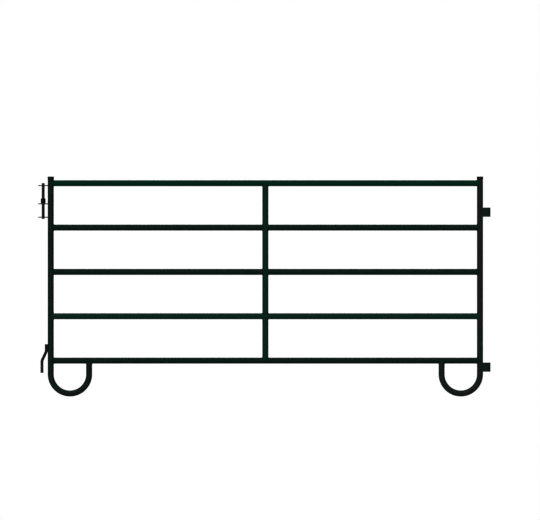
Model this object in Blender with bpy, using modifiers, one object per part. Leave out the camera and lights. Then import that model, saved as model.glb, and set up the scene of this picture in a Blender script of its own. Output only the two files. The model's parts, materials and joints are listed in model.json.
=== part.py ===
"""Livestock yard panel: five round rails and a centre stay between two posts.

Each post is one tube whose foot bends round into a J leg. The left post carries a drop pin
that slides in three guide tabs, and a hook. The right post carries the two strap sockets
that take the next panel's pin and hook.

+X runs along the rails from the pin end to the socket end, the front faces -Y, and +Z is up.
The origin is on the ground, midway between the posts. All sizes are in metres.
"""

import math

import bmesh
import bpy
from mathutils import Matrix

# Frame
PANEL_HEIGHT = 1.524  # ground to the top of the caps
POST_SPACING = 2.9745  # post centre to post centre
TUBE_DIAMETER = 0.0413
TUBE_WALL = 0.0015
RAIL_NAMES = ("bottom_rail", "lower_rail", "middle_rail", "upper_rail", "top_rail")
TOP_RAIL_DROP = 0.0465  # cap top down to the top rail's centre line
BEND_RADIUS = 0.133  # J leg, on the tube's centre line
LEG_STRAIGHT = 0.0947  # end of the bend up to the bottom rail's centre line

# Post caps
CAP_WALL = 0.001
CAP_TOP = 0.0025
CAP_SKIRT = 0.018  # whole height of the cap
CAP_EDGE = 0.0015  # chamfer round the top

# Drop pin, its collar and its guide tabs
PIN_DIAMETER = 0.020
PIN_CHAMFER = 0.0015
PIN_STANDOFF = 0.03175  # post's surface to the pin's axis
PIN_CLEARANCE = 0.00075  # pin to the wall of a tab's hole
PIN_TOP_PROUD = 0.014  # pin above the top tab
PIN_TIP_PROUD = 0.0085  # pin below the bottom tab
PIN_LIFT_SPARE = 0.0065  # lift left after the tip clears a seated socket
COLLAR_WALL = 0.0065
COLLAR_HEIGHT = 0.035
COLLAR_CROWN = 0.006  # height of the collar's domed shoulder
ROLL_PIN_DIAMETER = 0.005
ROLL_PIN_WALL = 0.001
ROLL_PIN_SLOT = 0.001
TAB_THICKNESS = 0.00635
TAB_DEPTH = 0.038  # along Y
TAB_OVERHANG = 0.0346  # pin's axis to the tab's tip
TAB_CORNER = 0.008
BOTTOM_TAB_DROP = 0.2355  # top rail's centre line down to the bottom tab's middle

# Sockets
SOCKET_HEIGHT = 0.0635
SOCKET_STRAP = 0.00635
SOCKET_CLEARANCE = 0.00365  # pin to the slot's side
SOCKET_LIFT_GAP = 0.0225  # room above a seated socket, up to the middle tab
LOWER_SOCKET_RISE = 0.0178  # end of the leg's bend up to the socket's lower edge

# Hook
HOOK_DIAMETER = 0.020
HOOK_STANDOFF = 0.04025  # post's surface to the drop leg's axis
HOOK_TIP_PROUD = 0.008  # drop leg below a seated socket
HOOK_SHOULDER = 0.0128  # drop leg above a seated socket
HOOK_SLANT = 0.0638  # height of the slanting run
HOOK_WELD_LEG = 0.0505  # height of the leg on the post
HOOK_BEND_RADIUS = 0.022

# Fits and facets
GAP = 0.0003  # between pieces that touch
TUBE_SIDES = 16
ROD_SIDES = 12
BEND_STEP = math.radians(15.0)  # a whole number of steps in a quarter circle
ARC_STEPS = 12  # in a socket's half circle
CORNER_STEPS = 3
CROWN_STEPS = 3
HOOK_BEND_STEPS = 3
CURVE_SIDES = 4  # a curve's round at resolution 0; each step of resolution adds 2
MERGE_DISTANCE = 0.00001
SMOOTH_ANGLE = math.radians(35)  # edges sharper than this stay sharp
RIM_ANGLE = math.radians(60)  # only a bar's end rims are sharper than this

# Worked out from the sizes above
TUBE_RADIUS = TUBE_DIAMETER / 2
POST_X = POST_SPACING / 2
LEG_END_X = POST_X - 2 * BEND_RADIUS  # where the leg meets the bottom rail
BEND_Z = BEND_RADIUS + TUBE_RADIUS
BOTTOM_RAIL_Z = BEND_Z + LEG_STRAIGHT
TOP_RAIL_Z = PANEL_HEIGHT - TOP_RAIL_DROP
RAIL_PITCH = (TOP_RAIL_Z - BOTTOM_RAIL_Z) / (len(RAIL_NAMES) - 1)
PIN_RADIUS = PIN_DIAMETER / 2
PIN_REACH = TUBE_RADIUS + PIN_STANDOFF
PIN_X = -POST_X - PIN_REACH
BOTTOM_TAB_Z = TOP_RAIL_Z - BOTTOM_TAB_DROP
MIDDLE_TAB_Z = BOTTOM_TAB_Z + TAB_THICKNESS + SOCKET_HEIGHT + SOCKET_LIFT_GAP
PIN_LIFT = PIN_TIP_PROUD + TAB_THICKNESS + SOCKET_HEIGHT + PIN_LIFT_SPARE
COLLAR_Z = MIDDLE_TAB_Z + TAB_THICKNESS / 2 + GAP
TOP_TAB_Z = COLLAR_Z + COLLAR_HEIGHT + PIN_LIFT + GAP + TAB_THICKNESS / 2
PIN_TIP_Z = BOTTOM_TAB_Z - TAB_THICKNESS / 2 - PIN_TIP_PROUD
PIN_TOP_Z = TOP_TAB_Z + TAB_THICKNESS / 2 + PIN_TOP_PROUD
UPPER_SOCKET_Z = BOTTOM_TAB_Z + TAB_THICKNESS / 2
LOWER_SOCKET_Z = BEND_Z + LOWER_SOCKET_RISE
SOCKET_INNER = PIN_RADIUS + SOCKET_CLEARANCE
HOOK_RADIUS = HOOK_DIAMETER / 2


def clear_scene():
    """Remove every object, so that the part is all there is."""
    for thing in list(bpy.data.objects):
        bpy.data.objects.remove(thing, do_unlink=True)


def new_collection(name):
    """Add an empty collection to the scene."""
    group = bpy.data.collections.new(name)
    bpy.context.scene.collection.children.link(group)
    return group


def new_material(name, colour, roughness, metallic):
    """A Principled material of one colour."""
    made = bpy.data.materials.new(name)
    made.use_nodes = True
    shader = made.node_tree.nodes["Principled BSDF"]
    shader.inputs["Base Color"].default_value = (*colour, 1.0)
    shader.inputs["Roughness"].default_value = roughness
    shader.inputs["Metallic"].default_value = metallic
    return made


def add_part(name, data, material=None):
    """Put a mesh or curve in the scene: a part with its material, or a cutter without one."""
    thing = bpy.data.objects.new(name, data)
    if material:
        PARTS.objects.link(thing)
        data.materials.append(material)
    else:
        CUTTERS.objects.link(thing)
        thing.hide_render = True
        thing.display_type = "WIRE"
    return thing


def weld(made, turn_out=False):
    """Join a mesh's loose caps and edges, and where asked turn its faces outwards."""
    shape = bmesh.new()
    shape.from_mesh(made)
    bmesh.ops.remove_doubles(shape, verts=shape.verts, dist=MERGE_DISTANCE)
    if turn_out:
        bmesh.ops.recalc_face_normals(shape, faces=shape.faces)
    shape.to_mesh(made)
    shape.free()


def mesh_of(name, line):
    """The mesh that a curve makes. The curve itself is not kept."""
    guide = bpy.data.objects.new(name, line)
    CUTTERS.objects.link(guide)
    bpy.context.view_layer.update()
    seen = guide.evaluated_get(bpy.context.evaluated_depsgraph_get())
    made = bpy.data.meshes.new_from_object(seen)
    made.name = name
    bpy.data.objects.remove(guide, do_unlink=True)
    return made


def corner_radius(radius, sides):
    """The corner radius of a regular polygon whose flats lie at the given radius."""
    return radius / math.cos(math.pi / sides)


def round_bar(name, radius, length, sides, closed=True):
    """A bar or an open tube skin about Z, centred, with flats facing along X and Y."""
    shape = bmesh.new()
    wide = corner_radius(radius, sides)
    bmesh.ops.create_cone(
        shape, cap_ends=closed, segments=sides, radius1=wide, radius2=wide, depth=length
    )
    bmesh.ops.rotate(
        shape, verts=shape.verts, cent=(0, 0, 0), matrix=Matrix.Rotation(math.pi / sides, 3, "Z")
    )
    made = bpy.data.meshes.new(name)
    shape.to_mesh(made)
    shape.free()
    return made


def shade_round(made):
    """Smooth shading with the real edges kept sharp."""
    made.shade_smooth()
    made.set_sharp_from_angle(angle=SMOOTH_ANGLE)


def lay_along_x(thing):
    """Turn a piece that was made about Z so that it lies along X."""
    thing.rotation_euler = (0, math.pi / 2, 0)


def hollow(thing):
    """Give an open tube skin its wall, inwards."""
    wall = thing.modifiers.new("wall", "SOLIDIFY")
    wall.thickness = TUBE_WALL
    wall.offset = -1
    wall.use_even_offset = True


def cut(thing, *cutters):
    """Take each cutter out of a piece."""
    for cutter in cutters:
        away = thing.modifiers.new(cutter.name, "BOOLEAN")
        away.operation = "DIFFERENCE"
        away.solver = "EXACT"
        away.object = cutter


def cross_cutter(name, location):
    """A short bar along X, GAP larger than a tube, for the saddle of a tube that meets a rail."""
    bar = add_part(name, round_bar(name, TUBE_RADIUS + GAP, 2 * TUBE_DIAMETER, TUBE_SIDES))
    bar.location = location
    lay_along_x(bar)
    return bar


def straight_tube(name, middle, length, along_x):
    """A hollow frame tube about its middle, along X or Z."""
    skin = round_bar(name, TUBE_RADIUS, length, TUBE_SIDES, closed=False)
    shade_round(skin)
    tube = add_part(name, skin, PAINT)
    tube.location = middle
    if along_x:
        lay_along_x(tube)
    hollow(tube)
    return tube


def curve_mesh(name, points, radius, sides, closed):
    """The mesh of a round bar along points (x, z, width share), in the plane y = 0."""
    line = bpy.data.curves.new(name, "CURVE")
    line.dimensions = "3D"
    line.bevel_depth = corner_radius(radius, sides)
    line.bevel_resolution = (sides - CURVE_SIDES) // 2
    line.use_fill_caps = closed
    spline = line.splines.new("POLY")
    spline.points.add(len(points) - 1)
    for point, (x, z, share) in zip(spline.points, points):
        point.co = (x, 0, z, 1)
        point.radius = share
        point.tilt = math.pi / sides
    made = mesh_of(name, line)
    weld(made)
    shade_round(made)
    return made


def leg_path(side):
    """A post's centre line, down the post, round the J leg and up to the bottom rail.

    The bend's straight steps touch the true circle at their middles, so each corner lies
    outside it and the tube is widened there to keep its faces in line. The lowest step is level.
    """
    half = BEND_STEP / 2
    corner = BEND_RADIUS / math.cos(half)
    wider = 1 / math.cos(half)
    outer_x = side * POST_X
    inner_x = side * LEG_END_X
    middle_x = (outer_x + inner_x) / 2
    points = [(outer_x, PANEL_HEIGHT - CAP_TOP - GAP, 1.0), (outer_x, BEND_Z, 1.0)]
    for step in range(round(math.pi / BEND_STEP)):
        turn = half + step * BEND_STEP
        across = side * corner * math.cos(turn)
        points.append((middle_x + across, BEND_Z - corner * math.sin(turn), wider))
    points += [(inner_x, BEND_Z, 1.0), (inner_x, BOTTOM_RAIL_Z, 1.0)]
    return points


def make_post(name, side):
    """One post with its J leg, saddle-cut under the bottom rail."""
    post = add_part(name, curve_mesh(name, leg_path(side), TUBE_RADIUS, TUBE_SIDES, False), PAINT)
    hollow(post)
    cut(post, cross_cutter(name + "_leg_cutter", (side * LEG_END_X, 0, BOTTOM_RAIL_Z)))
    return post


def post_cutter(name, side):
    """A bar over a post's whole straight run, for every piece that is fitted to the post."""
    length = PANEL_HEIGHT - BEND_Z
    bar = add_part(name, round_bar(name, TUBE_RADIUS + GAP, length, TUBE_SIDES))
    bar.location = (side * POST_X, 0, BEND_Z + length / 2)
    return bar


def turned(name, profile, sides, material):
    """A turned piece about Z with flats facing along X and Y, from (radius, z) points.

    The points run down the outside from the top.
    """
    stretch = corner_radius(1.0, sides)
    made = bpy.data.meshes.new(name)
    loop = [(radius * stretch, 0, z) for radius, z in profile]
    edges = [(i, i + 1) for i in range(len(loop) - 1)]
    if profile[0][0] > 0:
        edges.append((len(loop) - 1, 0))
    made.from_pydata(loop, edges, [])
    piece = add_part(name, made, material)
    piece.rotation_euler = (0, 0, math.pi / sides)
    screw = piece.modifiers.new("turn", "SCREW")
    screw.steps = sides
    screw.render_steps = sides
    screw.use_merge_vertices = True
    screw.merge_threshold = MERGE_DISTANCE
    return piece


def make_cap(name, side):
    """A cup over a post's end, chamfered round the top."""
    inner = TUBE_RADIUS + GAP
    outer = inner + CAP_WALL
    profile = [
        (0, CAP_SKIRT),
        (outer - CAP_EDGE, CAP_SKIRT),
        (outer, CAP_SKIRT - CAP_EDGE),
        (outer, 0),
        (inner, 0),
        (inner, CAP_SKIRT - CAP_TOP),
        (0, CAP_SKIRT - CAP_TOP),
    ]
    cap = turned(name, profile, TUBE_SIDES, PLASTIC)
    cap.location = (side * POST_X, 0, PANEL_HEIGHT - CAP_SKIRT)
    return cap


def outline_mesh(name, points, thickness):
    """A flat plate of the given outline in XY, centred on z = 0."""
    line = bpy.data.curves.new(name, "CURVE")
    line.dimensions = "2D"
    line.fill_mode = "BOTH"
    line.extrude = thickness / 2
    spline = line.splines.new("POLY")
    spline.points.add(len(points) - 1)
    for point, (x, y) in zip(spline.points, points):
        point.co = (x, y, 0, 1)
    spline.use_cyclic_u = True
    made = mesh_of(name, line)
    weld(made, turn_out=True)
    return made


def arc(centre, radius, start, sweep, steps):
    """Points (x, y) round an arc, both ends included, with angles in radians."""
    turns = [start + sweep * i / steps for i in range(steps + 1)]
    return [(centre[0] + radius * math.cos(t), centre[1] + radius * math.sin(t)) for t in turns]


def make_tab(name, height, post, hole):
    """A flat guide tab on the left post, with round tip corners and a hole for the pin."""
    tip = -PIN_REACH - TAB_OVERHANG
    half = TAB_DEPTH / 2
    inset = half - TAB_CORNER
    outline = [(0, half)]
    outline += arc((tip + TAB_CORNER, inset), TAB_CORNER, math.pi / 2, math.pi / 2, CORNER_STEPS)
    outline += arc((tip + TAB_CORNER, -inset), TAB_CORNER, math.pi, math.pi / 2, CORNER_STEPS)
    outline.append((0, -half))
    tab = add_part(name, outline_mesh(name, outline, TAB_THICKNESS), PAINT)
    tab.location = (-POST_X, 0, height)
    cut(tab, post, hole)
    return tab


def make_socket(name, bottom, post):
    """A flat strap bent round into a U, standing on edge, with both ends on the right post."""
    outer = SOCKET_INNER + SOCKET_STRAP
    bend = (PIN_REACH, 0)
    outline = [(0, -outer)]
    outline += arc(bend, outer, -math.pi / 2, math.pi, ARC_STEPS)
    outline += [(0, outer), (0, SOCKET_INNER)]
    outline += arc(bend, SOCKET_INNER, math.pi / 2, -math.pi, ARC_STEPS)
    outline.append((0, -SOCKET_INNER))
    socket = add_part(name, outline_mesh(name, outline, SOCKET_HEIGHT), PAINT)
    socket.location = (POST_X, 0, bottom + SOCKET_HEIGHT / 2)
    cut(socket, post)
    return socket


def rounded_corner(before, corner, after, radius, steps):
    """Points (x, z) round the arc that takes a corner off a line."""
    first = math.atan2(corner[1] - before[1], corner[0] - before[0])
    turn = math.atan2(after[1] - corner[1], after[0] - corner[0]) - first
    back = radius * math.tan(abs(turn) / 2)
    way = math.copysign(1, turn)
    start = (corner[0] - back * math.cos(first), corner[1] - back * math.sin(first))
    centre = (start[0] - way * radius * math.sin(first), start[1] + way * radius * math.cos(first))
    return arc(centre, radius, first - way * math.pi / 2, turn, steps)


def make_hook():
    """The cranked bar on the left post, from the top of its welded leg to its tip."""
    weld_x = -POST_X - TUBE_RADIUS - GAP - HOOK_RADIUS
    drop_x = -POST_X - TUBE_RADIUS - HOOK_STANDOFF
    shoulder_z = LOWER_SOCKET_Z + SOCKET_HEIGHT + HOOK_SHOULDER
    slant_z = shoulder_z + HOOK_SLANT
    top = (weld_x, slant_z + HOOK_WELD_LEG)
    upper = (weld_x, slant_z)
    lower = (drop_x, shoulder_z)
    tip = (drop_x, LOWER_SOCKET_Z - HOOK_TIP_PROUD)
    path = [top]
    path += rounded_corner(top, upper, lower, HOOK_BEND_RADIUS, HOOK_BEND_STEPS)
    path += rounded_corner(upper, lower, tip, HOOK_BEND_RADIUS, HOOK_BEND_STEPS)
    path.append(tip)
    points = [(x, z, 1.0) for x, z in path]
    return add_part("hook_rod", curve_mesh("hook_rod", points, HOOK_RADIUS, ROD_SIDES, True), BLACK)


def make_pin(holder, cross_hole):
    """The drop pin, chamfered at both ends, with a cross hole for the roll pin."""
    length = PIN_TOP_Z - PIN_TIP_Z
    bar = round_bar("drop_pin", PIN_RADIUS, length, TUBE_SIDES)
    shade_round(bar)
    pin = add_part("drop_pin", bar, BLACK)
    pin.parent = holder
    pin.location = (0, 0, (PIN_TOP_Z + PIN_TIP_Z) / 2)
    ends = pin.modifiers.new("ends", "BEVEL")
    ends.width = PIN_CHAMFER
    ends.segments = 1
    ends.limit_method = "ANGLE"
    ends.angle_limit = RIM_ANGLE
    cut(pin, cross_hole)
    return pin


def make_collar(holder, cross_hole):
    """The ring that is pinned on the drop pin, with a domed upper shoulder."""
    inner = PIN_RADIUS + GAP
    outer = PIN_RADIUS + COLLAR_WALL
    crown_centre = (outer - COLLAR_CROWN, COLLAR_HEIGHT - COLLAR_CROWN)
    crown = arc(crown_centre, COLLAR_CROWN, math.pi / 2, -math.pi / 2, CROWN_STEPS)
    profile = crown + [(outer, 0), (inner, 0), (inner, COLLAR_HEIGHT)]
    collar = turned("pin_collar", profile, TUBE_SIDES, BLACK)
    collar.parent = holder
    collar.location = (0, 0, COLLAR_Z)
    cut(collar, cross_hole)
    return collar


def make_roll_pin(holder, height):
    """The slotted spring pin through the collar and the drop pin, along Y."""
    outer = ROLL_PIN_DIAMETER / 2
    inner = outer - ROLL_PIN_WALL
    slot_turn = ROLL_PIN_SLOT / 2 / outer
    sweep = 2 * math.pi - 2 * slot_turn
    outline = arc((0, 0), outer, slot_turn, sweep, ROD_SIDES)
    outline += arc((0, 0), inner, slot_turn + sweep, -sweep, ROD_SIDES)
    length = 2 * (PIN_RADIUS + COLLAR_WALL)
    pin = add_part("collar_roll_pin", outline_mesh("collar_roll_pin", outline, length), STEEL)
    pin.parent = holder
    pin.location = (0, 0, height)
    pin.rotation_euler = (math.pi / 2, 0, 0)
    return pin


def make_frame():
    """Posts, rails, stay and caps."""
    left_cutter = post_cutter("left_post_cutter", -1)
    right_cutter = post_cutter("right_post_cutter", 1)
    make_post("left_post", -1)
    make_post("right_post", 1)
    heights = [BOTTOM_RAIL_Z + i * RAIL_PITCH for i in range(len(RAIL_NAMES))]
    saddles = []
    for name, height in zip(RAIL_NAMES, heights):
        rail = straight_tube(name, (0, 0, height), POST_SPACING, along_x=True)
        cut(rail, left_cutter, right_cutter)
        saddles.append(cross_cutter(name + "_saddle", (0, 0, height)))
    for i in range(len(heights) - 1):
        middle = (0, 0, (heights[i] + heights[i + 1]) / 2)
        stay = straight_tube(f"stay_tube_{i + 1}", middle, RAIL_PITCH, along_x=False)
        cut(stay, saddles[i], saddles[i + 1])
    make_cap("left_post_cap", -1)
    make_cap("right_post_cap", 1)
    return left_cutter, right_cutter


def make_pin_end(left_cutter):
    """Tabs, hook, and the sliding pin with what is on it."""
    radius = PIN_RADIUS + PIN_CLEARANCE
    length = PIN_TOP_Z - PIN_TIP_Z
    hole = add_part("tab_hole_cutter", round_bar("tab_hole_cutter", radius, length, TUBE_SIDES))
    hole.location = (PIN_X, 0, (PIN_TOP_Z + PIN_TIP_Z) / 2)
    make_tab("bottom_guide_tab", BOTTOM_TAB_Z, left_cutter, hole)
    make_tab("middle_guide_tab", MIDDLE_TAB_Z, left_cutter, hole)
    make_tab("top_guide_tab", TOP_TAB_Z, left_cutter, hole)
    make_hook()

    holder = bpy.data.objects.new("drop_pin_axis", None)
    PARTS.objects.link(holder)
    holder.location = (PIN_X, 0, 0)
    cross_z = COLLAR_Z + COLLAR_HEIGHT / 2
    cross_length = 2 * (PIN_DIAMETER + COLLAR_WALL)
    bar = round_bar("cross_hole_cutter", ROLL_PIN_DIAMETER / 2 + GAP, cross_length, ROD_SIDES)
    cross_hole = add_part("cross_hole_cutter", bar)
    cross_hole.location = (PIN_X, 0, cross_z)
    cross_hole.rotation_euler = (math.pi / 2, 0, 0)
    make_pin(holder, cross_hole)
    make_collar(holder, cross_hole)
    make_roll_pin(holder, cross_z)


def make_panel():
    """The whole panel: frame, pin end and socket end."""
    left_cutter, right_cutter = make_frame()
    make_pin_end(left_cutter)
    make_socket("upper_socket", UPPER_SOCKET_Z, right_cutter)
    make_socket("lower_socket", LOWER_SOCKET_Z, right_cutter)


clear_scene()
PARTS = new_collection("livestock_panel")
CUTTERS = new_collection("cutters")
PAINT = new_material("green_paint", (0.003, 0.015, 0.010), 0.35, 0.0)
BLACK = new_material("black_paint", (0.003, 0.004, 0.004), 0.45, 0.0)
PLASTIC = new_material("black_plastic", (0.004, 0.005, 0.005), 0.5, 0.0)
STEEL = new_material("spring_steel", (0.08, 0.08, 0.085), 0.4, 1.0)
make_panel()
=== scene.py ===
"""Livestock yard panel: fine shapes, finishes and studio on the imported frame.

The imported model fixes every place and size. Each CAD node is stood for here by a finer piece
in the same place: coped round tubes, bent J legs, moulded caps, edged guide tabs, folded strap
sockets, the hook rod, and the drop pin with its collar and roll pin. Rippled weld beads, which
the CAD leaves out, run round every joint.

+X runs along the rails from the pin end to the socket end, the front faces -Y, and +Z is up.
All sizes are in metres.
"""

import json
import logging
import math
import zlib
from collections.abc import Sequence
from dataclasses import dataclass, field
from enum import Enum
from typing import Protocol

import bpy
import numpy as np
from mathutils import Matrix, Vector
from numpy.typing import NDArray


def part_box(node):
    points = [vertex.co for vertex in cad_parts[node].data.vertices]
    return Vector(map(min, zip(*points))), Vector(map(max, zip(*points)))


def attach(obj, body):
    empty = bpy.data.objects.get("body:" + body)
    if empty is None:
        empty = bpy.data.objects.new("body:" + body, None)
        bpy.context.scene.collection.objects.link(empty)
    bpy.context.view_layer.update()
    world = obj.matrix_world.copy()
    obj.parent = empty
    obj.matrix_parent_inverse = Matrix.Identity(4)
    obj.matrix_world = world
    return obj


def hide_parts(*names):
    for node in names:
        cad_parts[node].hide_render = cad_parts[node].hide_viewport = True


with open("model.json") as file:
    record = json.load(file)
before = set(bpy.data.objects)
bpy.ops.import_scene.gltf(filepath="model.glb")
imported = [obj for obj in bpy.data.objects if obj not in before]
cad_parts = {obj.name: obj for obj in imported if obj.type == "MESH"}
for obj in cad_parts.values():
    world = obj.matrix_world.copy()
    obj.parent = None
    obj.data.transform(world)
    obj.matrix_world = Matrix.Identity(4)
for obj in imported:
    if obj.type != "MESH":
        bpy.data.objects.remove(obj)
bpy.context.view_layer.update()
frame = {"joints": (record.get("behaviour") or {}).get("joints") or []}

LOG = logging.getLogger("yard_panel")

Array = NDArray[np.float64]
Colour = tuple[float, float, float]
Socket = bpy.types.NodeSocket

ALONG = np.array([1.0, 0.0, 0.0])
DEPTH = np.array([0.0, 1.0, 0.0])
UP = np.array([0.0, 0.0, 1.0])
FULL_TURN = 2.0 * math.pi
HALF_TURN = math.pi
SMOOTH_ANGLE = math.radians(40.0)  # edges sharper than this stay sharp
FIT_GAP = 0.0003  # between pieces that touch
WEAR = "wear"  # vertex attribute, 0 on sound paint to 1 on rubbed metal


class Body(Enum):
    """CAD bodies that a piece can ride on."""

    FRAME = "panel_frame"
    PIN = "sliding_pin"


class Slot(Enum):
    """Material slots of the record."""

    FRAME_PAINT = "frame_paint"
    BRACKET_PAINT = "bracket_paint"
    BLACK_PAINT = "black_paint"
    CAP_PLASTIC = "cap_plastic"
    SPRING_STEEL = "spring_steel"


class Side(Enum):
    """Ends of the panel, by the sign of X."""

    LEFT = -1
    RIGHT = 1


class End(Enum):
    """Ends of a straight tube."""

    START = "start"
    END = "end"


class TabPlace(Enum):
    """Places of the guide tabs on the left post."""

    TOP = "top"
    MIDDLE = "middle"
    BOTTOM = "bottom"


class SocketPlace(Enum):
    """Places of the strap sockets on the right post."""

    UPPER = "upper"
    LOWER = "lower"


# --------------------------------------------------------------------------------------
# Surfaces
# --------------------------------------------------------------------------------------


@dataclass
class Shell:
    """A closed surface on a grid of points: rows by columns by XYZ.

    The columns always join up. The rows join up as well on a ring, such as a tube with a
    bore. On a bar, a fan of triangles to the end row's middle closes each end.
    """

    points: Array
    ring: bool = False
    wear: Array | None = None

    def vertices(self) -> Array:
        """List the grid's points, and the middles of a bar's two end rows.

        Returns:
            Points by XYZ.
        """
        listed = self.points.reshape(-1, 3)
        if self.ring:
            return listed
        return np.vstack([listed, self.points[0].mean(0), self.points[-1].mean(0)])

    def wear_values(self) -> Array:
        """Give each vertex its wear, which is 0 where none was set.

        Returns:
            One value for each vertex.
        """
        rows, columns = self.points.shape[:2]
        values = np.zeros((rows, columns)) if self.wear is None else self.wear
        values = np.broadcast_to(values, (rows, columns))
        if self.ring:
            return values.ravel()
        return np.concatenate([values.ravel(), [values[0].mean(), values[-1].mean()]])

    def faces(self) -> tuple[Array, Array]:
        """Join neighbouring points into faces whose normals point out of the solid.

        Point (i, j) is vertex i times the columns plus j, and each quad joins (i, j) to
        (i + 1, j + 1). The signed volume tells whether the faces have to be turned round.

        Returns:
            Quads and triangles, as rows of vertex numbers.
        """
        rows, columns = self.points.shape[:2]
        row = np.arange(rows if self.ring else rows - 1)[:, None]
        column = np.arange(columns)[None, :]
        after_row, after_column = (row + 1) % rows, (column + 1) % columns
        corners = [
            row * columns + column,
            row * columns + after_column,
            after_row * columns + after_column,
            after_row * columns + column,
        ]
        quads = np.stack(np.broadcast_arrays(*corners), -1).reshape(-1, 4)
        triangles = np.empty((0, 3), int)
        if not self.ring:
            near, far = np.arange(columns), (np.arange(columns) + 1) % columns
            last = (rows - 1) * columns
            start = np.full(columns, rows * columns)
            triangles = np.vstack(
                [
                    np.stack([start, far, near], -1),
                    np.stack([start + 1, last + near, last + far], -1),
                ]
            )
        if self._volume(quads, triangles) < 0:
            quads, triangles = quads[:, ::-1], triangles[:, ::-1]
        return quads, triangles

    def _volume(self, quads: Array, triangles: Array) -> float:
        """Sum a . (b x c) / 6 over the faces' triangles, which is the enclosed volume.

        Args:
            quads: Rows of four vertex numbers.
            triangles: Rows of three vertex numbers.

        Returns:
            The volume, which is negative when the faces point inwards.
        """
        split = np.vstack([quads[:, [0, 1, 2]], quads[:, [0, 2, 3]], triangles])
        spread = self.vertices() - self.points.reshape(-1, 3).mean(0)
        first, second, third = (spread[split[:, k]] for k in range(3))
        return float(np.einsum("ij,ij->", first, np.cross(second, third)) / 6.0)


class Finish(Protocol):
    """A surface finish that can make its own node material."""

    name: str

    def material(self) -> bpy.types.Material:
        """Return the finish's material."""


@dataclass
class Piece:
    """One visible piece: its shells, its finish, and the CAD node it stands for."""

    name: str
    shells: Sequence[Shell]
    finish: Finish
    slot: Slot
    body: Body = Body.FRAME
    node: str | None = None

    def build(self) -> bpy.types.Object:
        """Make the mesh and its object, then ride it on its body.

        Returns:
            The finished object, at the origin, with its place in its mesh.
        """
        mesh = self._mesh()
        thing = bpy.data.objects.new(self.name, mesh)
        bpy.context.scene.collection.objects.link(thing)
        mesh.materials.append(dressed(self.finish))
        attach(thing, self.body.value)
        if self.node:
            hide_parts(self.node)
        LOG.info("%s: %d faces, %s", self.name, len(mesh.polygons), self.finish.name)
        return thing

    def _mesh(self) -> bpy.types.Mesh:
        """Join the shells into one smooth mesh with its wear attribute.

        Returns:
            The mesh, sharp only where its faces turn more than the smooth angle.
        """
        points, faces, wear, offset = [], [], [], 0
        for shell in self.shells:
            quads, triangles = shell.faces()
            faces += (quads + offset).tolist() + (triangles + offset).tolist()
            points.append(shell.vertices())
            wear.append(shell.wear_values())
            offset += len(points[-1])
        mesh = bpy.data.meshes.new(self.name)
        mesh.from_pydata(np.vstack(points).tolist(), [], faces)
        values = np.concatenate(wear).astype(np.float32)
        mesh.attributes.new(WEAR, "FLOAT", "POINT").data.foreach_set("value", values)
        mesh.shade_smooth()
        mesh.set_sharp_from_angle(angle=SMOOTH_ANGLE)
        return mesh


def unit(vectors: Array) -> Array:
    """Return the vectors at length 1."""
    return vectors / np.linalg.norm(vectors, axis=-1, keepdims=True)


def around(sides: int) -> Array:
    """Return that many equal angles round a full turn, from 0."""
    return np.linspace(0.0, FULL_TURN, sides, endpoint=False)


def rounded(corners: Array, radii: Array, steps: int, closed: bool, hold: float = 0.0) -> Array:
    """Round the corners of a flat line of points with arcs.

    At a corner whose sides leave it along u and v, half the angle between them is h. The arc
    of radius r has its centre at the corner plus (u + v), at length 1, times r / sin h, and
    touches the sides r / tan h from the corner. Its points swing evenly from one to the other.

    Args:
        corners: Points by two coordinates.
        radii: Radius at each corner, more than 0.
        steps: Steps in each arc.
        closed: Whether the last point joins the first. An open line keeps its two ends.
        hold: Above 0 adds a point on each side of every arc, this many radii from it, which
            keeps the shading of the flats between the arcs flat.

    Returns:
        The rounded line's points by two coordinates.
    """
    before, after = np.roll(corners, 1, 0) - corners, np.roll(corners, -1, 0) - corners
    if not closed:
        before, after, inner = before[1:-1], after[1:-1], corners[1:-1]
        radii = radii[1:-1]
    else:
        inner = corners
    u, v = unit(before), unit(after)
    half = np.arccos(np.clip((u * v).sum(-1), -1.0, 1.0))[:, None] / 2.0
    radius = np.asarray(radii, float)[:, None]
    centre = inner + unit(u + v) * radius / np.sin(half)
    start = inner + u * radius / np.tan(half) - centre
    end = inner + v * radius / np.tan(half) - centre
    sweep = HALF_TURN - 2.0 * half
    share = np.linspace(0.0, 1.0, steps + 1)[None, :, None]
    bend = sweep[:, None]
    swung = np.sin((1.0 - share) * bend) * start[:, None] + np.sin(share * bend) * end[:, None]
    arcs = centre[:, None] + swung / np.sin(sweep)[:, None]
    if hold > 0.0:
        before_arc = arcs[:, :1] + (hold * radius * u)[:, None]
        after_arc = arcs[:, -1:] + (hold * radius * v)[:, None]
        arcs = np.concatenate([before_arc, arcs, after_arc], 1)
    arcs = arcs.reshape(-1, 2)
    return arcs if closed else np.vstack([corners[0], arcs, corners[-1]])


def turned(profile: Array, middle: tuple[float, float], sides: int, ring: bool = False) -> Shell:
    """Turn a profile about an upright axis.

    A profile point (r, z) becomes (x + r cos a, y + r sin a, z) at every angle a.

    Args:
        profile: Points by radius and height.
        middle: X and Y of the axis.
        sides: Points round the axis.
        ring: Whether the profile is a closed loop, clear of the axis.

    Returns:
        The turned solid.
    """
    angle = around(sides)[None, :]
    radius, height = profile[:, :1], profile[:, 1:]
    x, y = middle[0] + radius * np.cos(angle), middle[1] + radius * np.sin(angle)
    return Shell(np.stack(np.broadcast_arrays(x, y, height), -1), ring)


# --------------------------------------------------------------------------------------
# Finishes
# --------------------------------------------------------------------------------------


@dataclass(frozen=True)
class Pattern:
    """A noise, and the band of its values that a finish eases over."""

    scale: float
    detail: float
    band: tuple[float, float]


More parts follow.
